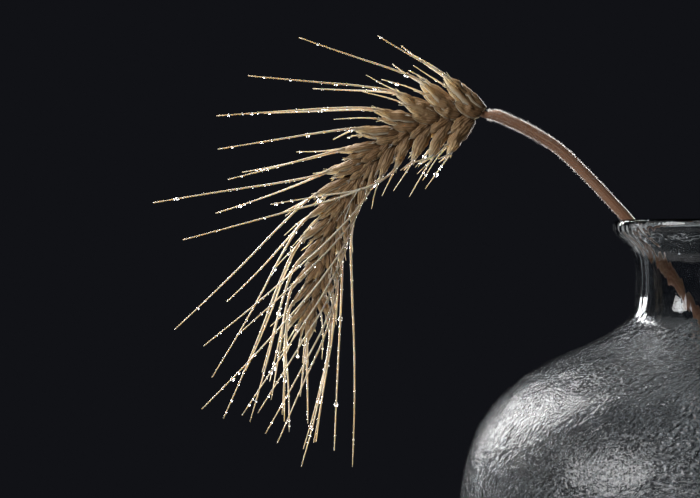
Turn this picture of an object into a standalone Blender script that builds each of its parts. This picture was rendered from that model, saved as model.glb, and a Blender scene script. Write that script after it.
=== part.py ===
"""A nodding ear of bearded wheat standing in a glass bottle vase.

Metres, +Z up. The origin is the centre of the vase's flat foot. The stem leans on the lip at -X, and the ear
nods down beside the vase. The plane y = 0 holds the vase's axis, the stem's arch and both rows of spikelets.
"""

import math
import random

import bpy
from mathutils import Quaternion, Vector

# Vase: outer sizes
VASE_HEIGHT = 0.160
FOOT_CORNER_RADIUS = 0.052  # where the foot and the wall would meet if the heel weren't rounded
BELLY_RADIUS = 0.0615
BELLY_HEIGHT = 0.060
SHOULDER_RADIUS = 0.0586
SHOULDER_DROP = 0.022  # from the neck's foot down to the shoulder's corner
NECK_RADIUS = 0.0165
NECK_LENGTH = 0.0165
FLARE_HEIGHT = 0.0052
LIP_OUT = 0.0055  # how far the lip stands out beyond the neck
LIP_HEIGHT = 0.003
LIP_RADIUS = NECK_RADIUS + LIP_OUT

# Vase: roundings, wall and floor
HEEL_ROUND = 0.018
BELLY_ROUND = 0.120
SHOULDER_ROUND = 0.034
NECK_ROUND = 0.009
FLARE_ROUND = 0.008
LIP_ROUND = 0.0010
WALL = 0.0020
FLOOR = 0.006
TURN_STEPS = 32
ARC_STEP = math.radians(17)

# Stem
STEM_RADIUS = 0.00135
STEM_FOOT_RADIUS = 0.0018
LEAN_HEADING = math.radians(131)  # of the stem where it passes the lip, from +X towards +Z
REST_GAP = 0.0003
NECK_RUN = 0.045  # how far the stem keeps its leaning direction below the lip
FOOT_RUN = 0.067  # how far it runs almost upright above the floor
FOOT_SLANT = math.radians(4)
ARCH = ((-0.0106, 0.0112), (-0.0172, 0.0173), (-0.0245, 0.0218), (-0.0300, 0.0244), (-0.0337, 0.0258))
STEM_INSIDE_POINTS = 14
STEM_ARCH_POINTS = 14

# Ear: its axis, the rachis
EAR_LENGTH = 0.0820  # from the collar to the tip of the last husk
FIRST_SPIKELET = 0.0010  # from the collar to the first spikelet's foot
EAR_HEADING = math.radians(180)
EAR_TURN = math.radians(80)
EAR_TURN_START = 1.5  # above 1, the turn starts gently at the collar
EAR_TURN_END = 3.0  # above 1, it ends gently at the tip
RACHIS_RADIUS = 0.0008
RACHIS_TIP_RADIUS = 0.0005
RACHIS_ZIGZAG = 0.0003

# Husks. They are packed shoulder to shoulder, so their sizes are in steps from one spikelet to the next.
HUSK_STEPS = 4.8
HUSK_BELLY_STEPS = 1.7  # from the husk's foot to its widest place
HUSK_RADIUS_STEPS = 0.455
TIP_SIZE = 0.62  # size of the last spikelet's husks, of the first one's
INNER_SIZE = 0.85  # size of those on the inner side of the bend, of their neighbours'
HUSK_FOOT_RADIUS = 0.0005
HUSK_GAP = 0.0003
HUSK_TILT = math.radians(9)  # of the front and back husks beyond their widest place
# Lifts of the outer and the inner husks from the ear's direction, at the collar and past LIFT_EASE spikelets
COLLAR_LIFT = (math.radians(36), math.radians(48))
EAR_LIFT = (math.radians(24), math.radians(22))
LIFT_EASE = 12

# Awns
AWN_RADIUS = 0.00028
AWN_TIP_RADIUS = 0.00011
AWN_TILT = math.radians(16)  # towards the front or the back
AWN_SETTLE = 0.20  # share of the awn in which it turns from the husk's direction to its own
AWN_BEND = (math.radians(-3), math.radians(10))  # least and most
AWN_PIECES = 4

# Length, and lift in degrees, of the awns of each spikelet's front and back floret, from the collar to the
# tip. The lift is from the ear's direction at that spikelet towards the outer side of the bend. The first
# spikelet is on that side, the second on the inner side, and so on.
AWNS = (
    ((0.020, 25), (0.014, 34)),
    ((0.003, -20), (0.003, -35)),
    ((0.033, 21), (0.009, 35)),
    ((0.006, -7), (0.003, -25)),
    ((0.038, 16), (0.022, 16)),
    ((0.004, -20), (0.003, -30)),
    ((0.040, 17), (0.029, 19)),
    ((0.057, 9), (0.003, -15)),
    ((0.035, 20), (0.006, 5)),
    ((0.029, 25), (0.004, -15)),
    ((0.029, 22), (0.026, 24)),
    ((0.057, -2), (0.003, -15)),
    ((0.044, 39), (0.031, 25)),
    ((0.045, 4), (0.003, -15)),
    ((0.049, 7), (0.011, 28)),
    ((0.060, 6), (0.065, -36)),
    ((0.047, -3), (0.031, 11)),
    ((0.051, 9), (0.003, -15)),
    ((0.049, -4), (0.038, -4)),
    ((0.044, 11), (0.051, -16)),
    ((0.042, -6), (0.031, 0)),
    ((0.043, 9), (0.044, -5)),
    ((0.030, -7), (0.027, -3)),
    ((0.039, 12), (0.039, -5)),
    ((0.028, -12), (0.024, -10)),
    ((0.038, -3), (0.036, -2)),
    ((0.027, -19), (0.026, -10)),
    ((0.014, -2), (0.022, -12)),
)
SPIKELETS = len(AWNS)
SPIKELET_STEP = (EAR_LENGTH - FIRST_SPIKELET) / (SPIKELETS - 1 + HUSK_STEPS * TIP_SIZE)
HUSK_LENGTH = HUSK_STEPS * SPIKELET_STEP
HUSK_BELLY = HUSK_BELLY_STEPS * SPIKELET_STEP
HUSK_RADIUS = HUSK_RADIUS_STEPS * SPIKELET_STEP

STRAW = (0.62, 0.45, 0.25)
STEM_BROWN = (0.46, 0.27, 0.16)
GLASS = (0.82, 0.88, 0.90)


def smooth(u):
    """Eases from 0 to 1 as u goes from 0 to 1, level at both ends."""
    u = min(max(u, 0.0), 1.0)
    return u * u * (3 - 2 * u)


def in_plane(heading):
    """Unit vector of the plane y = 0 at this angle from +X towards +Z."""
    return Vector((math.cos(heading), 0, math.sin(heading)))


def clear_scene():
    for obj in list(bpy.data.objects):
        bpy.data.objects.remove(obj, do_unlink=True)


def finish(name, colour, roughness, transmission=0.0):
    """A plain Principled material."""
    made = bpy.data.materials.new(name)
    made.use_nodes = True
    shader = made.node_tree.nodes["Principled BSDF"]
    shader.inputs["Base Color"].default_value = (*colour, 1)
    shader.inputs["Roughness"].default_value = roughness
    shader.inputs["Metallic"].default_value = 0.0
    shader.inputs["Transmission Weight"].default_value = transmission
    made.diffuse_color = (*colour, 1)
    return made


# ---- vase ----


def offset_corners(corners, distances):
    """The same chain moved to its left, each side by its own distance, and cut where its new sides meet."""
    sides = []
    for (a, b), distance in zip(zip(corners, corners[1:]), distances):
        along = (b - a).normalized()
        sides.append((a + Vector((-along.y, along.x)) * distance, along))
    moved = [sides[0][0]]
    for (a, u), (b, v) in zip(sides, sides[1:]):
        reach = (b - a).cross(v) / u.cross(v)
        moved.append(a + u * reach)
    moved.append(sides[-1][0] + sides[-1][1] * (corners[-1] - corners[-2]).length)
    return moved


def round_corners(corners, rounds):
    """The chain with each inner corner replaced by an arc. An arc takes at most 0.48 of either side."""
    points = [corners[0]]
    for before, corner, after, radius in zip(corners, corners[1:], corners[2:], rounds):
        back, on = before - corner, after - corner
        turn = math.pi - back.angle(on)
        reach = min(radius * math.tan(turn / 2), 0.48 * back.length, 0.48 * on.length)
        start = corner + back.normalized() * reach
        centre_way = (back.normalized() + on.normalized()).normalized()
        radius = reach / math.tan(turn / 2)
        centre = corner + centre_way * (radius / math.cos(turn / 2))
        sense = 1 if back.cross(on) < 0 else -1
        steps = max(2, math.ceil(turn / ARC_STEP))
        spoke = start - centre
        for step in range(steps + 1):
            angle = sense * turn * step / steps
            cos, sin = math.cos(angle), math.sin(angle)
            points.append(centre + Vector((spoke.x * cos - spoke.y * sin, spoke.x * sin + spoke.y * cos)))
    points.append(corners[-1])
    return points


def vase_section():
    """(outer, inner) half sections of the vase as (radius, height) points, from the axis up to the rim."""
    neck_top = VASE_HEIGHT - LIP_HEIGHT - FLARE_HEIGHT
    neck_foot = neck_top - NECK_LENGTH
    outer = [
        Vector((0, 0)),
        Vector((FOOT_CORNER_RADIUS, 0)),
        Vector((BELLY_RADIUS, BELLY_HEIGHT)),
        Vector((SHOULDER_RADIUS, neck_foot - SHOULDER_DROP)),
        Vector((NECK_RADIUS, neck_foot)),
        Vector((NECK_RADIUS, neck_top)),
        Vector((LIP_RADIUS, VASE_HEIGHT - LIP_HEIGHT)),
        Vector((LIP_RADIUS, VASE_HEIGHT)),
    ]
    inner = offset_corners(outer, [FLOOR] + [WALL] * 6)
    rounds = [HEEL_ROUND, BELLY_ROUND, SHOULDER_ROUND, NECK_ROUND, FLARE_ROUND, LIP_ROUND]
    hollows = [-WALL, -WALL, -WALL, WALL, WALL, 0.0]
    rim = Vector((LIP_RADIUS - WALL / 2, VASE_HEIGHT))
    outside = round_corners([*outer, rim], [*rounds, LIP_ROUND])
    inside = round_corners([*inner, rim], [*(r + more for r, more in zip(rounds, hollows)), LIP_ROUND])
    return outside, inside


def make_vase(material):
    outside, inside = vase_section()
    profile = inside[:-1] + outside[::-1]
    mesh = bpy.data.meshes.new("vase")
    mesh.from_pydata([(p.x, 0, p.y) for p in profile], [(i, i + 1) for i in range(len(profile) - 1)], [])
    vase = place("vase", mesh, material)
    turn = vase.modifiers.new("turn", "SCREW")
    turn.steps = turn.render_steps = TURN_STEPS
    turn.use_merge_vertices = True
    turn.merge_threshold = 1e-5
    turn.use_smooth_shade = True


# ---- stem and ear ----


def place(name, data, material):
    obj = bpy.data.objects.new(name, data)
    data.materials.append(material)
    bpy.data.collections["wheat_in_vase"].objects.link(obj)
    return obj


def make_tube(name, points, radii, sides_resolution, material):
    """A closed tube along the points, with its own radius at each."""
    curve = bpy.data.curves.new(name, "CURVE")
    curve.dimensions = "3D"
    curve.bevel_depth = 1.0
    curve.bevel_resolution = sides_resolution
    curve.use_fill_caps = True
    spline = curve.splines.new("POLY")
    spline.points.add(len(points) - 1)
    for knot, point, radius in zip(spline.points, points, radii):
        knot.co = (*point, 1)
        knot.radius = radius
        spline.use_smooth = True
    return place(name, curve, material)


def cubic(a, b, c, d, count):
    """count points of a Bezier curve, without its last."""
    return [
        a * (1 - t) ** 3 + b * 3 * t * (1 - t) ** 2 + c * 3 * t * t * (1 - t) + d * t**3
        for t in (i / count for i in range(count))
    ]


def through(knots, count):
    """count points, without the last, of a Catmull-Rom curve through the knots between the two end ones."""
    spans = len(knots) - 3
    points = []
    for i in range(count):
        span, t = divmod(i * spans / count, 1)
        p, q, r, s = knots[int(span) : int(span) + 4]
        points.append(
            0.5 * (2 * q + (r - p) * t + (2 * p - 5 * q + 4 * r - s) * t**2 + (3 * q - p - 3 * r + s) * t**3)
        )
    return points


def lip_edge():
    """The middle of the rounding of the lip's inner edge, where the stem leans."""
    return Vector((-(LIP_RADIUS - WALL + LIP_ROUND), 0, VASE_HEIGHT - LIP_ROUND))


def lean_heading():
    """LEAN_HEADING, or a flatter one where the flare is too wide for it: the stem clears the glass below the lip."""
    headings = [LEAN_HEADING]
    for point in vase_section()[1]:
        if FLOOR < point.y < VASE_HEIGHT - LIP_HEIGHT:
            across = lip_edge() - Vector((-point.x, 0, point.y))
            headings.append(math.atan2(across.z, across.x) - math.asin(LIP_ROUND / across.length))
    return max(headings)


def lean_point():
    """Where the stem's centreline passes over the lip."""
    away = in_plane(lean_heading() - math.pi / 2)
    return lip_edge() + away * (LIP_ROUND + STEM_RADIUS + REST_GAP)


def floor_reach():
    """How far the flat of the vase's floor runs from its axis."""
    return vase_section()[1][1].x


def stem_inside():
    """The stem from its cut foot on the vase's floor up to the lip."""
    lean = lean_point()
    below = lean - in_plane(lean_heading()) * NECK_RUN
    lift = STEM_FOOT_RADIUS * math.sin(FOOT_SLANT) + REST_GAP
    foot = Vector((floor_reach() - STEM_FOOT_RADIUS - REST_GAP, 0, FLOOR + lift))
    above = foot + in_plane(math.pi / 2 + FOOT_SLANT) * FOOT_RUN
    return cubic(foot, above, below, lean, STEM_INSIDE_POINTS)


def stem_arch():
    """The stem from the lip up to the collar, without its last point."""
    lean = lean_point()
    start = lean - in_plane(lean_heading()) * NECK_RUN / 4
    knots = [start, lean, *(lean + Vector((x, 0, z)) for x, z in ARCH)]
    knots.append(knots[-1] + in_plane(EAR_HEADING) * SPIKELET_STEP)
    return through(knots, STEM_ARCH_POINTS)


def heading_at(distance):
    """The ear's direction at this distance from the collar."""
    share = min(max(distance / EAR_LENGTH, 0.0), 1.0)
    return EAR_HEADING + EAR_TURN * (1 - (1 - share**EAR_TURN_START) ** EAR_TURN_END)


def ear_axis(distance, steps=40):
    """The point of the ear's axis at this distance from the collar."""
    point = lean_point() + Vector((ARCH[-1][0], 0, ARCH[-1][1]))
    step = distance / steps
    for i in range(steps):
        point += in_plane(heading_at((i + 0.5) * step)) * step
    return point


def outward(distance):
    """Towards the outer side of the ear's bend."""
    return in_plane(heading_at(distance) - math.pi / 2)


def spikelet_place(index):
    return FIRST_SPIKELET + index * SPIKELET_STEP


def make_stem(material):
    """The stem from its foot to the collar, going on as the rachis inside the ear to the last spikelet."""
    points = stem_inside() + stem_arch()
    in_vase = STEM_INSIDE_POINTS
    radii = [
        STEM_FOOT_RADIUS + (STEM_RADIUS - STEM_FOOT_RADIUS) * min(1, i / in_vase) for i in range(len(points))
    ]
    for index in range(SPIKELETS):
        place_here = spikelet_place(index)
        if index == SPIKELETS - 1:
            place_here -= REST_GAP + RACHIS_TIP_RADIUS
        swing = RACHIS_ZIGZAG * (-1 if index % 2 == 0 else 1)
        points.append(ear_axis(place_here) + outward(place_here) * swing)
        radii.append(RACHIS_RADIUS + (RACHIS_TIP_RADIUS - RACHIS_RADIUS) * index / (SPIKELETS - 1))
    make_tube("stem", points, radii, 2, material)


def husk_radius(distance):
    """A husk's radius: quickly up to its widest place, then tapering to the awn."""
    if distance <= HUSK_BELLY:
        rise = math.sin(math.pi / 2 * distance / HUSK_BELLY)
        return HUSK_FOOT_RADIUS + (HUSK_RADIUS - HUSK_FOOT_RADIUS) * rise
    fall = (distance - HUSK_BELLY) / (HUSK_LENGTH - HUSK_BELLY)
    return AWN_RADIUS + (HUSK_RADIUS - AWN_RADIUS) * math.cos(math.pi / 2 * fall)


def side_offset(distance):
    """How far a husk's centreline lies from the spikelet's middle plane."""
    if distance <= HUSK_BELLY:
        return husk_radius(distance) + HUSK_GAP / 2
    return HUSK_RADIUS + HUSK_GAP / 2 + (distance - HUSK_BELLY) * math.tan(HUSK_TILT)


def husk_size(index):
    """The size of a spikelet's husks, of the first one's."""
    size = 1 - (1 - TIP_SIZE) * index / (SPIKELETS - 1)
    return size if index % 2 == 0 or index == SPIKELETS - 1 else size * INNER_SIZE


def spikelet_frame(index):
    """(foot, along) of a spikelet: where it sits beside the rachis and the way its husks point."""
    place_here = spikelet_place(index)
    side = 1 if index % 2 == 0 else -1
    first, last = COLLAR_LIFT[index % 2], EAR_LIFT[index % 2]
    lift = first + (last - first) * smooth(index / LIFT_EASE)
    stand_off = RACHIS_RADIUS + RACHIS_ZIGZAG + REST_GAP + HUSK_FOOT_RADIUS
    if index == SPIKELETS - 1:
        lift = stand_off = 0.0
    along = in_plane(heading_at(place_here) - side * lift)
    return ear_axis(place_here) + outward(place_here) * side * stand_off, along


def awn_points(tip, start_way, end_way, length, bend):
    """The awn past the husk's tip: it settles from one direction to the other, then bends a little."""
    points = []
    step = length / AWN_PIECES
    for i in range(AWN_PIECES):
        share = (i + 0.5) / AWN_PIECES
        settled = smooth(share / AWN_SETTLE)
        way = (start_way * (1 - settled) + end_way * settled).normalized()
        tip = tip + Quaternion((0, 1, 0), bend * share) @ way * step
        points.append(tip)
    return points


def make_floret(index, which, bend, material):
    """One husk with its awn. which is -1 for the front floret and 1 for the back one."""
    foot, along = spikelet_frame(index)
    across = Vector((0, which, 0))
    size = husk_size(index)
    points, radii = [], []
    for share in (0, 0.16, HUSK_BELLY / HUSK_LENGTH, 0.65, 0.85, 1):
        distance = share * HUSK_LENGTH
        radii.append(max(husk_radius(distance) * size, AWN_RADIUS))
        points.append(foot + (along * distance + across * side_offset(distance)) * size)
    length, lift = AWNS[index][max(which, 0)]
    level = in_plane(heading_at(spikelet_place(index)) - math.radians(lift))
    way = level * math.cos(AWN_TILT) + across * math.sin(AWN_TILT)
    start_way = (points[-1] - points[-2]).normalized()
    points += awn_points(points[-1], start_way, way, length, bend)
    radii += [
        AWN_RADIUS + (AWN_TIP_RADIUS - AWN_RADIUS) * (i + 1) / AWN_PIECES for i in range(AWN_PIECES)
    ]
    side_name = "front" if which < 0 else "back"
    make_tube(f"floret_{index + 1:02d}_{side_name}", points, radii, 1, material)


def main():
    clear_scene()
    collection = bpy.data.collections.new("wheat_in_vase")
    bpy.context.scene.collection.children.link(collection)
    glass = finish("clear_glass", GLASS, 0.08, transmission=1.0)
    straw = finish("husk_straw", STRAW, 0.6)
    stem_skin = finish("stem_skin", STEM_BROWN, 0.5)
    make_vase(glass)
    make_stem(stem_skin)
    draw = random.Random(19)
    for index in range(SPIKELETS):
        for which in (-1, 1):
            make_floret(index, which, draw.uniform(*AWN_BEND), straw)


main()
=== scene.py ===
"""A nodding ear of bearded wheat in a hammered glass bottle vase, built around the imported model.

Metres, +Z up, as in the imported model. Every new surface is a closed skin over rings of points: a tube, a
boat-shaped husk, a drop or the turned vase. The rings are worked out as whole arrays, and one function
turns them into a mesh.
"""

import math

import bpy
import numpy as np
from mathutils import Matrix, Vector


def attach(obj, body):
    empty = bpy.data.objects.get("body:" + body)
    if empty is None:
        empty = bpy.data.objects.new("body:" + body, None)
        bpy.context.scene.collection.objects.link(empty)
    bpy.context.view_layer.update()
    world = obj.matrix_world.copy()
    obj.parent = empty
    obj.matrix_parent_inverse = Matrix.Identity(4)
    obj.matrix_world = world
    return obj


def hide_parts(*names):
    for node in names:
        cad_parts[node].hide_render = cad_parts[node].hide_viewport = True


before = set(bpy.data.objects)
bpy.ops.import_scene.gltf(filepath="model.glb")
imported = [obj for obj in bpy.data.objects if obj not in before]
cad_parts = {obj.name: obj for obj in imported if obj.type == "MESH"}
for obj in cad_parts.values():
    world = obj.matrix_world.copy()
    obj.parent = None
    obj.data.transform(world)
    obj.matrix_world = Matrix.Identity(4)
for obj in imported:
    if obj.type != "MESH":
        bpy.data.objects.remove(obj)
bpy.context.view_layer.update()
if bpy.context.scene.world is None:
    bpy.context.scene.world = bpy.data.worlds.new("studio")

MM = 0.001
UP = np.array([0.0, 0.0, 1.0])
FRONT = np.array([0.0, -1.0, 0.0])
SPIKELETS = sum(name.endswith("_front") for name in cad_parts)
FLORET_RINGS = 10  # of a packed floret
HUSK_STATIONS = 6  # those of its husk; the rest are its awn's
STEM_CORNERS = 8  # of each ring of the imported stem
NECK_HEIGHT = (0.131, 0.158)  # where the vase's glass is smooth, with upright streaks


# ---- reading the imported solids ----


def merged(node):
    """(points, links) of a CAD node: its corners merged, and each pair of them that an edge joins."""
    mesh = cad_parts[node].data
    points = np.empty(len(mesh.vertices) * 3, np.float32)
    mesh.vertices.foreach_get("co", points)
    mesh.calc_loop_triangles()
    faces = np.empty(len(mesh.loop_triangles) * 3, np.int32)
    mesh.loop_triangles.foreach_get("vertices", faces)
    keys = np.round(points.reshape(-1, 3) / 2e-6).astype(np.int64)
    _, first, index = np.unique(keys, axis=0, return_index=True, return_inverse=True)
    faces = index.reshape(-1)[faces].reshape(-1, 3)
    links = np.concatenate([faces[:, [0, 1]], faces[:, [1, 2]], faces[:, [2, 0]]])
    return points.reshape(-1, 3)[first].astype(float), links


def rings_from(points, links, start):
    """The corners in layers: the start ones, then those that an edge joins to a layer already taken."""
    taken = np.zeros(len(points), bool)
    layer = np.zeros(len(points), bool)
    layer[start] = True
    layers = []
    while layer.any():
        layers.append(points[layer])
        taken |= layer
        layer = np.zeros(len(points), bool)
        layer[links[taken[links[:, 0]], 1]] = True
        layer &= ~taken
    return layers


def centres_and_radii(rings):
    """Each ring's centre, and its corners' mean distance from it."""
    centres = np.array([ring.mean(0) for ring in rings])
    radii = [np.linalg.norm(ring - centre, axis=1).mean() for ring, centre in zip(rings, centres)]
    return centres, np.array(radii)


def floret_line(node):
    """(centres, radii) of a packed floret's rings from its foot, the end with the larger cap.

    Along its longest direction the corners of one ring lie closer than the rings do, so the rings part at
    the largest gaps.
    """
    points, _ = merged(node)
    along = np.linalg.svd(points - points.mean(0))[2][0]
    points = points[np.argsort(points @ along)]
    cuts = np.sort(np.argsort(np.diff(points @ along))[1 - FLORET_RINGS :]) + 1
    centres, radii = centres_and_radii(np.split(points, cuts))
    return (centres, radii) if radii[0] > radii[-1] else (centres[::-1], radii[::-1])


def stem_line():
    """(centres, radii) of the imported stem's rings, from its cut foot near the vase's floor to the ear's
    last spikelet.
    """
    points, links = merged("stem")
    lowest = points[points[:, 0] > 0][:, 2].min()
    foot = np.argsort(np.linalg.norm(points - points[points[:, 2] == lowest][0], axis=1))[:STEM_CORNERS]
    return centres_and_radii(rings_from(points, links, foot))


# ---- curves, noise and small array helpers ----


def unit(vectors):
    """The vectors over their lengths."""
    return vectors / np.maximum(np.linalg.norm(vectors, axis=-1, keepdims=True), 1e-12)


def ease(low, high, x):
    """0 up to low, 1 from high, and 3u^2 - 2u^3 between them."""
    u = np.clip((x - low) / (high - low), 0, 1)
    return u * u * (3 - 2 * u)


def smooth_line(knots, values, count):
    """count points along a smooth curve through the knots, with the values read along it.

    Each span is a cubic Hermite curve over its chord. A knot's slope is its two spans' slopes, each
    weighted by the other span's length.
    """
    chord = np.linalg.norm(np.diff(knots, axis=0), axis=1)
    run = np.concatenate([[0], np.cumsum(chord)])
    chord = chord[:, None]
    slope = np.diff(knots, axis=0) / chord
    inside = (slope[:-1] * chord[1:] + slope[1:] * chord[:-1]) / (chord[1:] + chord[:-1])
    slope = np.concatenate([slope[:1], inside, slope[-1:]])
    where = np.linspace(0, run[-1], count)
    i = np.clip(np.searchsorted(run, where, "right") - 1, 0, len(chord) - 1)
    u = (where - run[i])[:, None] / chord[i]
    points = (
        knots[i] * (2 * u**3 - 3 * u**2 + 1)
        + knots[i + 1] * (3 * u**2 - 2 * u**3)
        + chord[i] * (slope[i] * (u**3 - 2 * u**2 + u) + slope[i + 1] * (u**3 - u**2))
    )
    return points, np.interp(where, run, values)


def frames_along(line, side):
    """(forward, across, third) unit vectors at each point of the line, with `across` nearest to `side`."""
    forward = unit(np.gradient(line, axis=0))
    third = unit(np.cross(forward, side))
    return forward, np.cross(third, forward), third


def lattice_noise(u, v, cells_u, cells_v, seed):
    """Smooth noise from -1 to 1 over u and v in 0 to 1, which joins up with itself round u.

    It takes random values at the corners of cells, and is eased between them.
    """
    values = np.random.default_rng(seed).uniform(-1, 1, (cells_u, cells_v + 2))
    x, y = u * cells_u, v * cells_v
    i, j = np.floor(x).astype(int), np.floor(y).astype(int)
    fx, fy = x - i, y - j
    fx, fy = fx * fx * (3 - 2 * fx), fy * fy * (3 - 2 * fy)
    i, k = i % cells_u, (i + 1) % cells_u
    low = values[i, j] * (1 - fx) + values[k, j] * fx
    high = values[i, j + 1] * (1 - fx) + values[k, j + 1] * fx
    return low * (1 - fy) + high * fy


# ---- skins: closed bodies over rings, and the piece that holds them ----


def skin(rings, finish=0, shade=0.5):
    """A batch of closed bodies over rings (bodies, stations, around, 3), with capped ends.

    Returns its points, faces, UV and shade as arrays. U runs once around a ring and V from the first ring to
    the last. A batch that comes out inside out, by the sign of its volume, has its faces turned.
    """
    bodies, stations, around, _ = rings.shape
    index = np.arange(bodies * stations * around).reshape(bodies, stations, around)
    near, far = index[:, :-1], index[:, 1:]
    quads = np.stack([near, np.roll(near, -1, 2), np.roll(far, -1, 2), far], -1).reshape(-1, 4)
    caps = np.concatenate([index[:, 0, ::-1], index[:, -1]])
    j, i = np.arange(around), np.arange(stations - 1)
    u = np.stack([j, j + 1, j + 1, j], -1) / around
    v = np.stack([i, i, i + 1, i + 1], -1) / (stations - 1)
    quad_uv = np.stack(np.broadcast_arrays(u[None, None], v[None, :, None]), -1)
    quad_uv = np.broadcast_to(quad_uv, (bodies, stations - 1, around, 4, 2)).reshape(-1, 2)
    cap_u = np.concatenate([np.tile(j[::-1], bodies), np.tile(j, bodies)]) / around
    cap_v = np.repeat([0.0, 1.0], bodies * around)
    points = rings.reshape(-1, 3)
    corner = [points[quads[:, k]] for k in range(4)]
    centre = points.mean(0)
    volume = sum(
        np.einsum("ij,ij->i", corner[0] - centre, np.cross(corner[a] - centre, corner[b] - centre)).sum()
        for a, b in ((1, 2), (2, 3))
    )
    cap_uv = np.stack([cap_u, cap_v], -1)
    if volume < 0:
        quads, quad_uv = quads[:, ::-1], quad_uv.reshape(-1, 4, 2)[:, ::-1].reshape(-1, 2)
        caps, cap_uv = caps[:, ::-1], cap_uv.reshape(-1, around, 2)[:, ::-1].reshape(-1, 2)
    shades = np.repeat(np.broadcast_to(shade, bodies), stations * around)
    uv = (quad_uv, cap_uv)
    return {"points": points, "quads": quads, "caps": caps, "uv": uv, "finish": finish, "shade": shades}


def make_piece(name, skins, finishes, stands_for=()):
    """One mesh object from skins. It rides on the root body and stands for the CAD nodes named."""
    points = np.concatenate([s["points"] for s in skins])
    corners, sizes, uv, materials = [], [], [], []
    start = 0
    for s in skins:
        for faces, flat in zip((s["quads"], s["caps"]), s["uv"]):
            corners.append(faces.reshape(-1) + start)
            sizes.append(np.full(len(faces), faces.shape[1]))
            uv.append(flat)
            materials.append(np.full(len(faces), s["finish"]))
        start += len(s["points"])
    corners, sizes, uv, materials = (np.concatenate(x) for x in (corners, sizes, uv, materials))
    mesh = bpy.data.meshes.new(name)
    mesh.vertices.add(len(points))
    mesh.vertices.foreach_set("co", points.astype(np.float32).reshape(-1))
    mesh.loops.add(len(corners))
    mesh.loops.foreach_set("vertex_index", corners.astype(np.int32))
    mesh.polygons.add(len(sizes))
    mesh.polygons.foreach_set("loop_start", (np.cumsum(sizes) - sizes).astype(np.int32))
    mesh.polygons.foreach_set("material_index", materials.astype(np.int32))
    mesh.update(calc_edges=True)
    mesh.uv_layers.new(name="around_and_along").data.foreach_set("uv", uv.astype(np.float32).reshape(-1))
    shade = mesh.attributes.new("shade", "FLOAT", "POINT")
    shade.data.foreach_set("value", np.concatenate([s["shade"] for s in skins]).astype(np.float32))
    mesh.shade_smooth()
    mesh.validate()
    piece = bpy.data.objects.new(name, mesh)
    bpy.context.scene.collection.objects.link(piece)
    for finish in finishes:
        mesh.materials.append(finish)
    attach(piece, "root")
    if stands_for:
        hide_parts(*stands_for)
    return piece


def tube(line, radii, around, side=FRONT, ridges=0, ridge_height=0.0):
    """Rings of a round tube about the line, with `ridges` low cosine ribs along it."""
    _, across, third = frames_along(line, side)
    turn = np.linspace(0, 2 * math.pi, around, endpoint=False)
    reach = radii[:, None] * (1 + ridge_height * np.cos(ridges * turn))
    return line[:, None] + reach[..., None] * (
        np.cos(turn)[:, None] * across[:, None] + np.sin(turn)[:, None] * third[:, None]
    )


# ---- materials ----


def new_finish(name, **sockets):
    """(material, tree, shader) with the shader's sockets set, each named with underscores for spaces."""
    material = bpy.data.materials.new(name)
    material.use_nodes = True
    shader = material.node_tree.nodes["Principled BSDF"]
    for socket, value in sockets.items():
        shader.inputs[socket.replace("_", " ")].default_value = value
    return material, material.node_tree, shader


def wire(tree, kind, inputs=(), **settings):
    """A node with its settings and inputs. An input is a number, a colour or another node's output."""
    node = tree.nodes.new(kind)
    for key, value in settings.items():
        setattr(node, key, value)
    for socket, value in dict(inputs).items():
        if isinstance(value, bpy.types.NodeSocket):
            tree.links.new(value, node.inputs[socket])
        else:
            node.inputs[socket].default_value = value
    return node


def sums(tree, operation, *values, clamp=False):
    """The output of a Math node."""
    return wire(tree, "ShaderNodeMath", enumerate(values), operation=operation, use_clamp=clamp).outputs[0]


def ramp(tree, value, stops, ease_between="EASE"):
    """The colour of a Color Ramp at the value. A stop is (place, colour or grey)."""
    node = wire(tree, "ShaderNodeValToRGB", {"Fac": value})
    node.color_ramp.interpolation = ease_between
    elements = node.color_ramp.elements
    while len(elements) < len(stops):
        elements.new(0.5)
    for element, (place, colour) in zip(elements, stops):
        element.position = place
        element.color = (*colour, 1) if isinstance(colour, tuple) else (colour, colour, colour, 1)
    return node.outputs["Color"]


def blend_colours(tree, share, a, b, blend="MIX"):
    """Mix of two colours."""
    node = wire(tree, "ShaderNodeMix", {"Factor": share}, data_type="RGBA", blend_type=blend)
    for socket, value in ((6, a), (7, b)):
        if isinstance(value, bpy.types.NodeSocket):
            tree.links.new(value, node.inputs[socket])
        else:
            node.inputs[socket].default_value = (*value, 1)
    return node.outputs[2]


def object_noise(tree, scale, detail=2.0, stretch=(1, 1, 1), roughness=0.5):
    """Noise on Object coordinates. scale is in cells for each metre."""
    where = wire(tree, "ShaderNodeTexCoord").outputs["Object"]
    where = wire(tree, "ShaderNodeMapping", {"Vector": where, "Scale": stretch}).outputs[0]
    inputs = {"Vector": where, "Scale": scale, "Detail": detail, "Roughness": roughness}
    return wire(tree, "ShaderNodeTexNoise", inputs).outputs["Fac"]


def around_and_along(tree):
    """The two numbers of the piece's own map: once around a ring, and from the first ring to the last."""
    parts = wire(tree, "ShaderNodeSeparateXYZ", {"Vector": wire(tree, "ShaderNodeUVMap").outputs["UV"]})
    return parts.outputs["X"], parts.outputs["Y"]


def bump(tree, shader, height, distance):
    """Fine relief of the shader's surface. distance is in metres for a height of one."""
    node = wire(tree, "ShaderNodeBump", {"Height": height, "Distance": distance, "Strength": 1.0})
    tree.links.new(node.outputs["Normal"], shader.inputs["Normal"])


DRY_BROWN = (0.56, 0.46, 0.40)  # multiplies the husk's colour where it is shaded or blotched
VEINS = 24.0  # radians of the husk's veins from its spine to a margin


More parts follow.
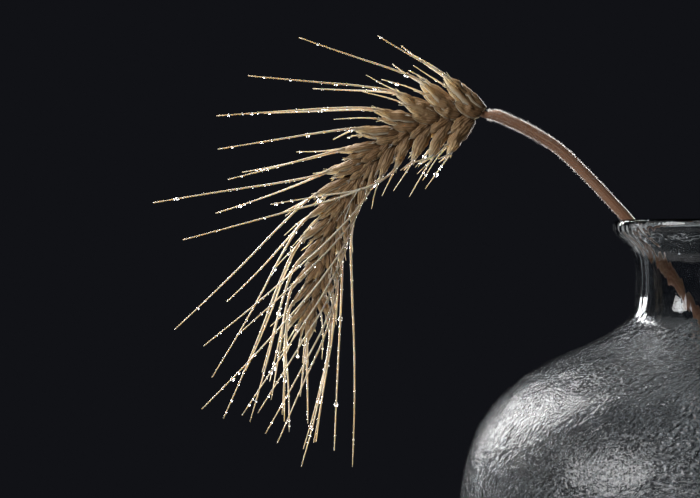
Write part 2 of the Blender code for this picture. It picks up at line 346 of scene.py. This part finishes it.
def husk_finish():
    """Dry husk with fine veins: brown at its foot, golden past it, and pale at its margins and tip. The dark
    brown foot is painted shade where the scales overlap; the pale margins and tip are partly the husk's own
    colour and partly painted rim light.
    """
    material, tree, shader = new_finish(
        "husk_straw",
        Roughness=0.55,
        Specular_IOR_Level=0.4,
        Subsurface_Weight=0.22,
        Subsurface_Radius=(1.0, 0.8, 0.55),
        Subsurface_Scale=0.0009,
    )
    around, along = around_and_along(tree)
    across = sums(tree, "MODULO", around, 0.5)
    across = sums(tree, "SUBTRACT", sums(tree, "MULTIPLY", across, 4.0), 1.0)
    edge = sums(tree, "ABSOLUTE", across)
    # Mask of the pale margins: partly the husk's own thin pale edge, partly painted rim light from the lamps
    # behind.
    pale_margin_and_rim_light = ramp(tree, edge, ((0.72, 0.0), (0.98, 1.0)))
    veins = sums(tree, "SINE", sums(tree, "MULTIPLY", across, VEINS))
    veins = sums(tree, "MULTIPLY_ADD", veins, 0.5, 0.5)
    tint = wire(tree, "ShaderNodeAttribute", attribute_name="shade").outputs["Fac"]
    blotches = object_noise(tree, 700, 4.0)
    # The darkest stop, at the foot, is painted shade where the scales overlap; the palest stop, at the tip,
    # is partly the husk's own colour and partly painted rim light.
    foot_to_tip = (
        (0.0, (0.10, 0.055, 0.026)),
        (0.3, (0.34, 0.212, 0.100)),
        (0.72, (0.56, 0.390, 0.200)),
        (1.0, (0.86, 0.73, 0.49)),
    )
    body = ramp(tree, along, foot_to_tip)
    body = blend_colours(tree, sums(tree, "MULTIPLY", veins, 0.28), body, (0.60, 0.43, 0.24))
    darker = blend_colours(tree, 1.0, body, DRY_BROWN, "MULTIPLY")
    body = blend_colours(tree, ramp(tree, blotches, ((0.40, 0.75), (0.62, 0.0))), body, darker)
    body = blend_colours(tree, sums(tree, "MULTIPLY", tint, 0.7), darker, body)
    # Mixes in the pale margin colour, part the husk's own, part painted rim light.
    pale = blend_colours(tree, sums(tree, "MULTIPLY", pale_margin_and_rim_light, 0.8), body, (0.83, 0.72, 0.53))
    tree.links.new(pale, shader.inputs["Base Color"])
    grain = object_noise(tree, 4200, 3.0)
    height = sums(tree, "ADD", veins, sums(tree, "MULTIPLY", grain, 0.6))
    bump(tree, shader, height, 0.00013)
    return material


def awn_finish():
    """Awn: straw, palest a quarter of the way along it and browner at its tip, with a fine grain."""
    material, tree, shader = new_finish(
        "awn_straw",
        Roughness=0.45,
        Specular_IOR_Level=0.5,
        Subsurface_Weight=0.4,
        Subsurface_Radius=(1.0, 0.75, 0.45),
        Subsurface_Scale=0.0008,
    )
    _, along = around_and_along(tree)
    foot_to_tip = ((0.0, (0.60, 0.47, 0.31)), (0.25, (0.82, 0.74, 0.60)), (1.0, (0.64, 0.54, 0.41)))
    body = ramp(tree, along, foot_to_tip)
    specks = ramp(tree, object_noise(tree, 1500, 3.0), ((0.42, 0.0), (0.66, 1.0)))
    body = blend_colours(tree, sums(tree, "MULTIPLY", specks, 0.3), body, (0.50, 0.34, 0.19))
    tree.links.new(body, shader.inputs["Base Color"])
    bump(tree, shader, object_noise(tree, 6000, 2.0), 0.00005)
    return material


def stem_finish():
    """Dry stem: reddish brown with fine lengthwise streaks."""
    material, tree, shader = new_finish(
        "stem_skin",
        Roughness=0.5,
        Specular_IOR_Level=0.25,
        Subsurface_Weight=0.25,
        Subsurface_Radius=(1.0, 0.55, 0.3),
        Subsurface_Scale=0.0008,
    )
    around, along = around_and_along(tree)
    streak_at = wire(tree, "ShaderNodeCombineXYZ", {"X": around, "Y": along, "Z": 0.0}).outputs[0]
    stretched = wire(tree, "ShaderNodeMapping", {"Vector": streak_at, "Scale": (26, 14, 1)}).outputs[0]
    inputs = {"Vector": stretched, "Scale": 1.0, "Detail": 4.0}
    streaks = wire(tree, "ShaderNodeTexNoise", inputs).outputs["Fac"]
    dark_to_pale = ((0.30, (0.20, 0.095, 0.055)), (0.55, (0.34, 0.180, 0.108)), (0.75, (0.48, 0.31, 0.20)))
    body = ramp(tree, streaks, dark_to_pale)
    tree.links.new(body, shader.inputs["Base Color"])
    bump(tree, shader, streaks, 0.00012)
    return material


def hair_finish():
    """Fine hair: straw at its root and almost white at its tip."""
    material, tree, shader = new_finish(
        "pale_hair",
        Roughness=0.35,
        Subsurface_Weight=0.5,
        Subsurface_Radius=(1.0, 0.9, 0.8),
        Subsurface_Scale=0.0005,
    )
    _, along = around_and_along(tree)
    body = ramp(tree, along, ((0.0, (0.72, 0.60, 0.46)), (1.0, (0.93, 0.89, 0.82))))
    tree.links.new(body, shader.inputs["Base Color"])
    return material


def water_finish():
    """Clear water, with a faint ripple so that two drops don't glint alike."""
    material, tree, shader = new_finish(
        "water",
        Base_Color=(1, 1, 1, 1),
        Roughness=0.0,
        IOR=1.333,
        Transmission_Weight=1.0,
    )
    bump(tree, shader, object_noise(tree, 500, 1.0), 0.00006)
    return material


def glass_finish():
    """Hammered glass: close small dents below the neck, and upright streaks on the neck and lip.

    The dents' height is 0.5 of round pits, 0.75 of ripples and 0.55 of a fine grain. The streaks are noise
    stretched along Z.
    """
    material, tree, shader = new_finish(
        "hammered_glass",
        Base_Color=(0.77, 0.80, 0.82, 1),
        Roughness=0.055,
        IOR=1.5,
        Transmission_Weight=1.0,
    )
    where = wire(tree, "ShaderNodeTexCoord").outputs["Object"]
    height = wire(tree, "ShaderNodeSeparateXYZ", {"Vector": where}).outputs["Z"]
    on_neck = wire(
        tree,
        "ShaderNodeMapRange",
        {"Value": height, "From Min": NECK_HEIGHT[0], "From Max": NECK_HEIGHT[0] + 6 * MM},
        interpolation_type="SMOOTHSTEP",
    ).outputs["Result"]
    inputs = {"Vector": where, "Scale": 520.0, "Smoothness": 0.5}
    cells = wire(tree, "ShaderNodeTexVoronoi", inputs, feature="SMOOTH_F1")
    dents = ramp(tree, cells.outputs["Distance"], ((0.12, 0.0), (0.42, 1.0)))
    dented = ramp(tree, object_noise(tree, 60, 2.0), ((0.48, 0.15), (0.60, 1.0)))
    grain = object_noise(tree, 1500, 2.0)
    ripples = object_noise(tree, 620, 2.0)
    hammered = sums(tree, "MULTIPLY", sums(tree, "MULTIPLY", dents, dented), 0.5)
    hammered = sums(tree, "ADD", hammered, sums(tree, "MULTIPLY", ripples, 0.75))
    hammered = sums(tree, "ADD", hammered, sums(tree, "MULTIPLY", grain, 0.55))
    streaks = sums(tree, "MULTIPLY", object_noise(tree, 420, 1.0, stretch=(1, 1, 0.12)), 0.9)
    mixed = wire(tree, "ShaderNodeMix", {"Factor": on_neck, 2: hammered, 3: streaks})
    bump(tree, shader, mixed.outputs[0], 0.00032)
    return material


# ---- the vase ----

VASE_AROUND = 288
OUTER_ROWS = 232
INNER_ROWS = 96
POLE_RADIUS = 0.5 * MM
WAVE = 0.28 * MM  # height of the broad waves in the glass
DENT = 0.08 * MM  # depth of the finer ones


def vase_profile():
    """(inner, outer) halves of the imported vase's section as (radius, height) rows.

    The rim ends one and starts the other, and each reaches the axis at its far end.
    """
    points, links = merged("vase")
    in_section = (points[:, 0] > 0) & (np.abs(points[:, 1]) < 1e-6)
    links = links[in_section[links].all(1)]
    links = np.concatenate([links, links[:, ::-1]])
    uses = np.bincount(np.unique(links, axis=0)[:, 0], minlength=len(points))
    ends = np.flatnonzero(uses == 1)
    start = ends[points[ends, 2].argmax()]
    rows = np.concatenate(rings_from(points, links, [start]))[:, [0, 2]]
    shares = np.linspace(0, 1, 6)[1:, None]
    floor = rows[0] - shares * [rows[0, 0], 0]
    foot = rows[-1] - shares * [rows[-1, 0], 0]
    rows = np.concatenate([floor[::-1], rows, foot])
    rim = rows[:, 1].argmax()
    return rows[: rim + 1], rows[rim:]


def spaced(rows, count):
    """count rows along a smooth curve through the rows, kept off the axis."""
    line, _ = smooth_line(rows, rows[:, 0], count)
    return np.maximum(line, [POLE_RADIUS, 0])


def make_vase():
    """The turned section, with broad waves and dents added along the outer wall's normal below the neck.

    At an angle and a distance along the section, the wall moves out by noise of two scales, times a weight
    that eases to nothing at the neck and the foot.
    """
    inner, outer = vase_profile()
    inner, outer = spaced(inner, INNER_ROWS), spaced(outer, OUTER_ROWS)
    rows = np.concatenate([inner[:-1], outer])
    slope = unit(np.gradient(rows, axis=0))
    normal = np.stack([slope[:, 1], -slope[:, 0]], -1)
    turn = np.linspace(0, 1, VASE_AROUND, endpoint=False)
    run = np.concatenate([[0], np.cumsum(np.linalg.norm(np.diff(rows, axis=0), axis=1))])
    u, v = np.meshgrid(turn, run / run[-1])
    height = rows[:, 1]
    weight = ease(4 * MM, 14 * MM, height) * (1 - ease(NECK_HEIGHT[0] - 8 * MM, NECK_HEIGHT[0], height))
    outside = np.arange(len(rows)) >= len(inner)
    broad = lattice_noise(u, v, 26, 40, 3) + 0.6 * lattice_noise(u, v, 54, 84, 4)
    fine = lattice_noise(u, v, 120, 180, 5)
    push = (WAVE * broad + DENT * fine) * (weight * np.where(outside, 1, 0.35))[:, None]
    radius = rows[:, 0, None] + normal[:, 0, None] * push
    lifted = height[:, None] + normal[:, 1, None] * push
    angle = 2 * math.pi * u
    rings = np.stack([radius * np.cos(angle), radius * np.sin(angle), lifted], -1)
    return make_piece("hammered_vase", [skin(rings[None])], [glass_finish()], ["vase"])


# ---- the stem ----

STEM_AROUND = 20
STEM_STATIONS = 220
STEM_RIBS = 7
HAIRY_RINGS = 14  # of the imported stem, back from the collar
HAIRS = 5600
HAIR_LENGTH = (0.20 * MM, 0.56 * MM)
HAIR_RADIUS = 0.022 * MM


def curved_hairs(roots, ways, lengths, radius, sag, stations=4, around=3):
    """Rings of many short tapered hairs. Each leaves its root along its way and droops by sag times s^2."""
    s = np.linspace(0, 1, stations)[:, None]
    line = roots[:, None] + (ways[:, None] * s + sag[:, None] * s**2) * lengths[:, None, None]
    forward = unit(ways)
    side = unit(np.cross(forward, UP + 0.1))
    third = np.cross(forward, side)
    turn = np.linspace(0, 2 * math.pi, around, endpoint=False)
    ring = np.cos(turn)[:, None] * side[:, None] + np.sin(turn)[:, None] * third[:, None]
    return line[:, :, None] + ring[:, None] * (radius * (1 - 0.8 * s))[None, :, None]


def make_stem(finish):
    """The stem with ribs along it, going on as the rachis, and pale hairs that thicken towards the ear."""
    line, radii = stem_line()
    arch = len(line) - SPIKELETS
    smooth, thick = smooth_line(line, radii, STEM_STATIONS)
    rings = tube(smooth, thick, STEM_AROUND, ridges=STEM_RIBS, ridge_height=0.035)
    make_piece("straw_stem", [skin(rings[None])], [finish], ["stem"])

    draw = np.random.default_rng(11)
    collar, lowest = line[arch - 1], line[arch - 1 - HAIRY_RINGS]
    near = np.linalg.norm(smooth - collar, axis=1).argmin()
    low = np.linalg.norm(smooth - lowest, axis=1).argmin()
    share = 1 - draw.beta(1.0, 1.7, HAIRS)  # 0 at the lowest hairs and 1 at the collar
    at = low + share * (near + 2 - low)
    whole = np.minimum(at.astype(int), STEM_STATIONS - 2)
    rest = (at - whole)[:, None]
    centre = smooth[whole] * (1 - rest) + smooth[whole + 1] * rest
    forward, across, third = (axis[whole] for axis in frames_along(smooth, FRONT))
    turn = draw.uniform(0, 2 * math.pi, HAIRS)[:, None]
    out = np.cos(turn) * across + np.sin(turn) * third
    roots = centre + out * thick[whole, None] * 0.97
    lean_over = draw.normal(0.25, 0.45, (HAIRS, 1))
    ways = unit(out + forward * lean_over + draw.normal(0, 0.3, (HAIRS, 3)))
    lengths = draw.uniform(*HAIR_LENGTH, HAIRS) * (0.55 + 0.6 * share)
    sag = draw.normal(0, 0.22, (HAIRS, 3))
    hairs = curved_hairs(roots, ways, lengths, HAIR_RADIUS, sag)
    make_piece("stem_hairs", [skin(hairs)], [hair_finish()])


# ---- the ear ----

SCALE_STATIONS = 22
SCALE_ACROSS = 11
SCALE_THICKNESS = 0.10 * MM
CREASE_HEIGHT = 0.30  # of a scale's half width
BROAD_CREASES = (5, 7)  # noise cells across and along a scale
FINE_CREASES = (9, 5)
BRISTLES = 5  # at the tip of each scale
BRISTLE_START = (0.04, 0.16)  # back from the tip, of the spikelet's length
BRISTLE_LENGTH = (0.07, 0.20)
BRISTLE_RADII = np.linspace(0.12, 0.03, 5) * MM
AWN_STATIONS = 18
AWN_AROUND = 7
SHORT_AWN = (3.0 * MM, 12.0 * MM)
FIRST_EXTRA = 0.62  # how much wider the first spikelet's scales are
EXTRA_FADES = 7  # spikelets over which that falls to about a third

# Each scale's half width over the spikelet's width, wrap to each side in radians, bow over the spikelet's
# length, share of its own length that is a narrow beak, and keel over its half width.
HUSK = (0.120, 1.45, 0.035, 0.0, 0.06)
SECOND_HUSK = (0.112, 1.35, 0.05, 0.08, 0.06)
GLUME = (0.110, 1.25, 0.055, 0.10, 0.10)
MIDDLE_HUSK = (0.115, 1.4, 0.035, 0.06, 0.06)


def creases(s, width, draw):
    """How far a scale's skin stands out at each station s and each place across it.

    It is 0.8 of a broad noise and 0.5 of a fine one, times CREASE_HEIGHT * width * sin(pi s)^0.5. The noise
    joins up with itself at 1, so the places across run from 0.05 to 0.95, and the two margins differ.
    """
    places = np.meshgrid(np.linspace(0.05, 0.95, SCALE_ACROSS), s)
    broad = lattice_noise(*places, *BROAD_CREASES, draw.integers(10**6))
    fine = lattice_noise(*places, *FINE_CREASES, draw.integers(10**6))
    height = np.sin(math.pi * s) ** 0.5 * width * CREASE_HEIGHT
    return (broad * 0.8 + fine * 0.5) * height[:, None]


def boat_scale(base, along, face, length, width, wrap, bow, beak, keel, draw):
    """Rings of a boat-shaped, creased scale.

    Its spine runs from the base along `along` and bows towards `face` by bow * sin(0.92 pi s). Across it is
    an arc of `wrap` radians to each side. With b from 0 at the base to 1 where the narrow beak begins, its
    half width is width * (0.07 + sin(pi b^0.82)^0.6 * (1 - 0.18 b)). A keel of `keel` times the half width
    stands along the spine. The inner side repeats the arc a little smaller, and creases push both sides out.
    """
    s = np.linspace(0, 1, SCALE_STATIONS)
    body = np.clip(s / (1 - beak), 0, 1)
    half = width * (np.sin(math.pi * body**0.82) ** 0.6 * (1 - 0.18 * body) + 0.07)
    half = np.where(s > 1 - beak, width * 0.09 * (1.6 - s), half) if beak else half
    crease = creases(s, width, draw)[:, :, None]
    spine = base + along * (length * s[:, None]) + face * (bow * np.sin(math.pi * s[:, None] * 0.92))
    side = np.cross(along, face)
    t = np.linspace(-1, 1, SCALE_ACROSS)
    reach = (half / math.sin(min(wrap, math.pi / 2)))[:, None, None]
    arc = side * np.sin(wrap * t)[:, None] + face * (np.cos(wrap * t) - 1)[:, None]
    ridge = face * (keel * np.exp(-((t / 0.14) ** 2)))[:, None]
    thin = np.minimum(SCALE_THICKNESS, 0.25 * half)[:, None, None]
    outer = spine[:, None] + arc * reach + ridge * half[:, None, None] + face * crease
    inner = spine[:, None] + arc * reach * 0.93 + face * (crease - thin)
    return np.concatenate([outer, inner[:, ::-1]], 1)


def short_awn(tip, way, off, draw):
    """(line, radii) of a short awn from a husk's tip: it goes on along the husk, then bends a little."""
    bend = unit(way + FRONT * draw.uniform(-0.35, 0.35) + off * draw.uniform(-0.20, 0.20))
    reach = draw.uniform(*SHORT_AWN)
    knots = np.array([tip, tip + way * reach * 0.3, tip + way * reach * 0.3 + bend * reach * 0.7])
    return smooth_line(knots, np.array([0.20, 0.15, 0.07]) * MM, 10)


def ragged_tip(tip, way, size, draw):
    """Short straight bristles with the awns' finish, where the torn tip of a scale ends."""
    bristles = []
    for _ in range(BRISTLES):
        start = tip - way * size * draw.uniform(*BRISTLE_START)
        bend = unit(way + draw.uniform(-0.42, 0.42, 3))
        line = start + bend * np.linspace(0, size * draw.uniform(*BRISTLE_LENGTH), 5)[:, None]
        bristles.append(tube(line, BRISTLE_RADII, 6))
    return skin(np.stack(bristles), 1)


def awn_skin(line, radii):
    """A round tapered tube with the awns' finish."""
    return skin(tube(line, radii, AWN_AROUND)[None], 1)


def make_spikelet(number, rachis, finishes, draw):
    """One spikelet: two husks with long awns, two second husks and two glumes, and a middle husk.

    Most second husks and the middle one have a short awn. `along` runs from the spikelet's foot to its
    husks' tips, over a length of `size`, and `off` points away from the rachis. Places, lengths and leans
    are shares of these. Returns the lines and radii of its awns.
    """
    names = [f"floret_{number:02d}_{which}" for which in ("front", "back")]
    lines = [floret_line(name) for name in names]
    feet = np.array([line[0] for line, _ in lines])
    tips = np.array([line[HUSK_STATIONS - 1] for line, _ in lines])
    foot = feet.mean(0)
    along = unit(tips.mean(0) - foot)
    size = np.linalg.norm(tips.mean(0) - foot)
    root = rachis[np.linalg.norm(rachis - foot, axis=1).argmin()]
    off = foot - root
    off -= along * (off @ along)
    if np.linalg.norm(off) < 0.3 * MM:
        off = np.cross(along, FRONT)
    off = unit(off)
    root = foot - off * np.dot(foot - root, off)

    # the first spikelets fan out, so their scales are wider
    wide = size * (1 + FIRST_EXTRA * math.exp((1 - number) / EXTRA_FADES))
    skins, awns = [], []

    def add_scale(kind, base, way, face, length, shades):
        half, wrap, bow, beak, keel = kind
        rings = boat_scale(base, way, face, length, half * wide, wrap, bow * size, beak, keel, draw)
        skins.append(skin(rings[None], 0, draw.uniform(*shades)))

    for (line, radii), across in zip(lines, (FRONT, -FRONT)):
        tip = line[HUSK_STATIONS - 1]
        # husk, wrapped round the grain, with its awn
        base = line[0] - off * 0.35 * MM
        way = unit(tip - base)
        face = across * 0.62 + off * 0.78
        face = unit(face - way * (face @ way))
        reach = np.linalg.norm(tip - base)
        add_scale(HUSK, base, way, face, reach * 1.02, (0.35, 0.9))
        skins.append(ragged_tip(base + way * reach, way, size, draw))
        path, thick = smooth_line(line[HUSK_STATIONS - 2 :], radii[HUSK_STATIONS - 2 :], AWN_STATIONS)
        thick = np.minimum(thick, radii[HUSK_STATIONS] * 1.25)
        skins.append(awn_skin(path, thick))
        awns.append((path, thick))
        # second husk, a little lower
        base = root + off * 0.06 * size + across * 0.09 * size
        way = unit(along - off * draw.uniform(0.02, 0.12) + across * draw.uniform(0.03, 0.09))
        face = across * 0.86 + off * draw.uniform(0.35, 0.60)
        face = unit(face - way * (face @ way))
        length = size * draw.uniform(0.82, 0.94)
        add_scale(SECOND_HUSK, base, way, face, length, (0.2, 1.0))
        skins.append(ragged_tip(base + way * length, way, size, draw))
        if draw.random() < 0.7:
            awns.append(short_awn(base + way * length * 0.97, way, off, draw))
            skins.append(awn_skin(*awns[-1]))
        # glume, outside them and nearer the rachis
        base = root - off * 0.03 * size + across * 0.115 * size
        way = unit(along - off * draw.uniform(0.18, 0.34) + across * draw.uniform(0.02, 0.07))
        face = across * 0.95 + off * draw.uniform(0.0, 0.3)
        face = unit(face - way * (face @ way))
        length = size * draw.uniform(0.60, 0.72)
        add_scale(GLUME, base, way, face, length, (0.2, 1.0))
        skins.append(ragged_tip(base + way * length, way, size * 0.7, draw))

    # middle husk, with a short awn
    base = root + off * 0.12 * size
    way = unit(along + off * draw.uniform(0.02, 0.10) + FRONT * draw.uniform(-0.08, 0.08))
    length = size * draw.uniform(0.94, 1.04)
    face = unit(off - way * (off @ way))
    add_scale(MIDDLE_HUSK, base, way, face, length, (0.4, 1.0))
    skins.append(ragged_tip(base + way * length, way, size, draw))
    awns.append(short_awn(base + way * length * 0.97, way, off, draw))
    skins.append(awn_skin(*awns[-1]))
    make_piece(f"spikelet_{number:02d}", skins, finishes, names)
    return awns


AWN_FOOT = 0.28 * MM  # radius of an awn where it leaves its husk
BARB_STEP = 0.55 * MM
BARB_LENGTH = (0.10 * MM, 0.22 * MM)
BARB_RADIUS = 0.022 * MM


def make_barbs(awns, finish):
    """Tiny teeth along the awns, each leaning towards the awn's tip."""
    draw = np.random.default_rng(23)
    roots, ways, lengths = [], [], []
    for path, thick in awns:
        run = np.linalg.norm(np.diff(path, axis=0), axis=1).sum()
        count = int(run / BARB_STEP)
        at = np.sort(draw.uniform(0, len(path) - 1.001, count))
        whole, rest = at.astype(int), (at % 1)[:, None]
        centre = path[whole] * (1 - rest) + path[whole + 1] * rest
        forward, across, third = (axis[whole] for axis in frames_along(path, FRONT))
        turn = draw.uniform(0, 2 * math.pi, (count, 1))
        out = np.cos(turn) * across + np.sin(turn) * third
        roots.append(centre + out * thick[whole, None] * 0.8)
        ways.append(unit(out * 0.8 + forward * draw.uniform(0.7, 1.6, (count, 1))))
        lengths.append(draw.uniform(*BARB_LENGTH, count) * thick[whole] / AWN_FOOT)
    roots, ways, lengths = np.concatenate(roots), np.concatenate(ways), np.concatenate(lengths)
    rings = curved_hairs(roots, ways, lengths, BARB_RADIUS, np.zeros_like(roots), stations=2)
    make_piece("awn_barbs", [skin(rings)], [finish])


SMALL_DROP = (0.17 * MM, 0.32 * MM)  # radius
LARGE_DROP = (0.36 * MM, 0.62 * MM)
DROP_SPACING = 4.2 * MM
LARGE_SHARE = 0.09  # of all drops


def drops(centres, radii, stretch, stations=8, around=8):
    """Rings of round drops, each a little longer than wide and drawn in towards its top."""
    angle = np.linspace(0.12, math.pi - 0.12, stations)
    turn = np.linspace(0, 2 * math.pi, around, endpoint=False)
    wide = np.sin(angle) * (1 - 0.10 * np.cos(angle))
    ring = np.stack([np.cos(turn), np.sin(turn), np.zeros(around)], -1)
    shape = ring[None] * wide[:, None, None] + UP * np.cos(angle)[:, None, None]
    shape = shape[None] * np.ones((len(radii), 1, 1, 1))
    shape[..., 2] *= stretch[:, None, None]
    return centres[:, None, None] + shape * radii[:, None, None, None]


def make_drops(awns):
    """Water on the awns: small drops astride them, and a few larger ones that hang a little below."""
    draw = np.random.default_rng(37)
    centres, radii = [], []
    for path, thick in awns:
        run = np.linalg.norm(np.diff(path, axis=0), axis=1).sum()
        count = draw.poisson(run / DROP_SPACING)
        at = draw.uniform(0.2, len(path) - 1.4, count)
        whole, rest = at.astype(int), (at % 1)[:, None]
        centre = path[whole] * (1 - rest) + path[whole + 1] * rest
        large = draw.random(count) < LARGE_SHARE
        radius = np.where(large, draw.uniform(*LARGE_DROP, count), draw.uniform(*SMALL_DROP, count))
        radius = np.maximum(radius, thick[whole] * 1.35)
        centres.append(centre - UP * (radius * np.where(large, 0.35, 0.1))[:, None])
        radii.append(radius)
    centres, radii = np.concatenate(centres), np.concatenate(radii)
    rings = drops(centres, radii, draw.uniform(1.0, 1.18, len(radii)))
    make_piece("water_drops", [skin(rings)], [water_finish()])


def make_ear():
    """The 28 spikelets from the collar to the tip, and the barbs and drops on their awns."""
    line, _ = stem_line()
    rachis = line[-SPIKELETS:]
    finishes = [husk_finish(), awn_finish()]
    draw = np.random.default_rng(5)
    awns = []
    for number in range(1, SPIKELETS + 1):
        awns += make_spikelet(number, rachis, finishes, draw)
    make_barbs(awns, finishes[1])
    make_drops(awns)


# ---- studio ----

CAMERA_AT = (-88.0 * MM, -486.0 * MM, 152.75 * MM)
LENS = 100.0
SENSOR = 36.0
FLOOR_RADIUS = 0.45
FLOOR_THICKNESS = 6 * MM
FLOOR_AROUND = 96
NIGHT = (0.0056, 0.0060, 0.0080)  # the dark around the studio
EAR_MIDDLE = (-75 * MM, 0, 140 * MM)


def make_camera():
    """A level camera that looks along +Y."""
    camera = bpy.data.objects.new("camera", bpy.data.cameras.new("camera"))
    bpy.context.scene.collection.objects.link(camera)
    camera.data.lens = LENS
    camera.data.sensor_width = SENSOR
    camera.data.clip_start = 0.01
    camera.location = CAMERA_AT
    camera.rotation_euler = (math.pi / 2, 0, 0)
    bpy.context.scene.camera = camera


def softbox(name, place, aim, size, power):
    """A soft oval light aimed at a point."""
    light = bpy.data.lights.new(name, "AREA")
    light.shape = "ELLIPSE"
    light.size, light.size_y = size
    light.energy = power
    box = bpy.data.objects.new(name, light)
    bpy.context.scene.collection.objects.link(box)
    box.location = place
    box.rotation_euler = (Vector(aim) - Vector(place)).to_track_quat("-Z", "Y").to_euler()
    box.visible_camera = False
    return box


def keep_from(lights, *pieces):
    """Keeps lights off some pieces, which neither show them nor are lit by them."""
    left_out = bpy.data.collections.new("left_out")
    for piece in pieces:
        left_out.objects.link(piece)
    for member in left_out.collection_objects:
        member.light_linking.link_state = "EXCLUDE"
    for light in lights:
        light.light_linking.receiver_collection = left_out


def make_floor():
    """A plain pale round floor under the vase: a flat disc, turned from four rows about the upright axis."""
    low = -FLOOR_THICKNESS
    rows = np.array([[POLE_RADIUS, low], [FLOOR_RADIUS, low], [FLOOR_RADIUS, 0.0], [POLE_RADIUS, 0.0]])
    radius, height = rows[:, :1], rows[:, 1:]
    turn = np.linspace(0, 2 * math.pi, FLOOR_AROUND, endpoint=False)
    points = np.stack([radius * np.cos(turn), radius * np.sin(turn), np.repeat(height, FLOOR_AROUND, 1)], -1)
    data = skin(points[None])
    mesh = bpy.data.meshes.new("floor")
    mesh.from_pydata(data["points"].tolist(), [], data["quads"].tolist() + data["caps"].tolist())
    material, tree, shader = new_finish("pale_floor", Roughness=0.7)
    grain = ramp(tree, object_noise(tree, 30, 5.0), ((0.3, (0.50, 0.50, 0.49)), (0.7, (0.56, 0.56, 0.55))))
    tree.links.new(grain, shader.inputs["Base Color"])
    mesh.materials.append(material)
    floor = bpy.data.objects.new("floor", mesh)
    bpy.context.scene.collection.objects.link(floor)
    return floor


def make_studio(vase):
    """Floor, dark surroundings and soft lights. Those for the ear are kept from the vase and the floor."""
    scene = bpy.context.scene
    scene.view_settings.view_transform = "Standard"
    scene.world.use_nodes = True
    background = scene.world.node_tree.nodes.get("Background")
    background.inputs["Color"].default_value = (*NIGHT, 1)
    floor = make_floor()
    ear = EAR_MIDDLE
    for_ear = [
        softbox("back_left", (-0.52, 0.95, 0.52), ear, (0.45, 0.60), 21.0),
        softbox("back_right", (0.45, 0.90, 0.35), ear, (0.40, 0.60), 13.0),
        softbox("low_left", (-0.38, 0.95, 0.05), ear, (0.30, 0.20), 7.0),
        softbox("top_left", (-0.42, 0.32, 0.85), ear, (0.50, 0.50), 10.0),
    ]
    keep_from(for_ear, vase, floor)
    softbox("front_left", (-0.70, -0.55, 0.50), ear, (0.50, 0.50), 5.4)
    softbox("glass_edge", (-0.74, 0.88, 0.74), ear, (0.24, 1.20), 9.0)
    softbox("glass_back", (0.60, 0.95, 0.38), ear, (0.80, 0.90), 1.5)


make_camera()
make_studio(make_vase())
make_stem(stem_finish())
make_ear()
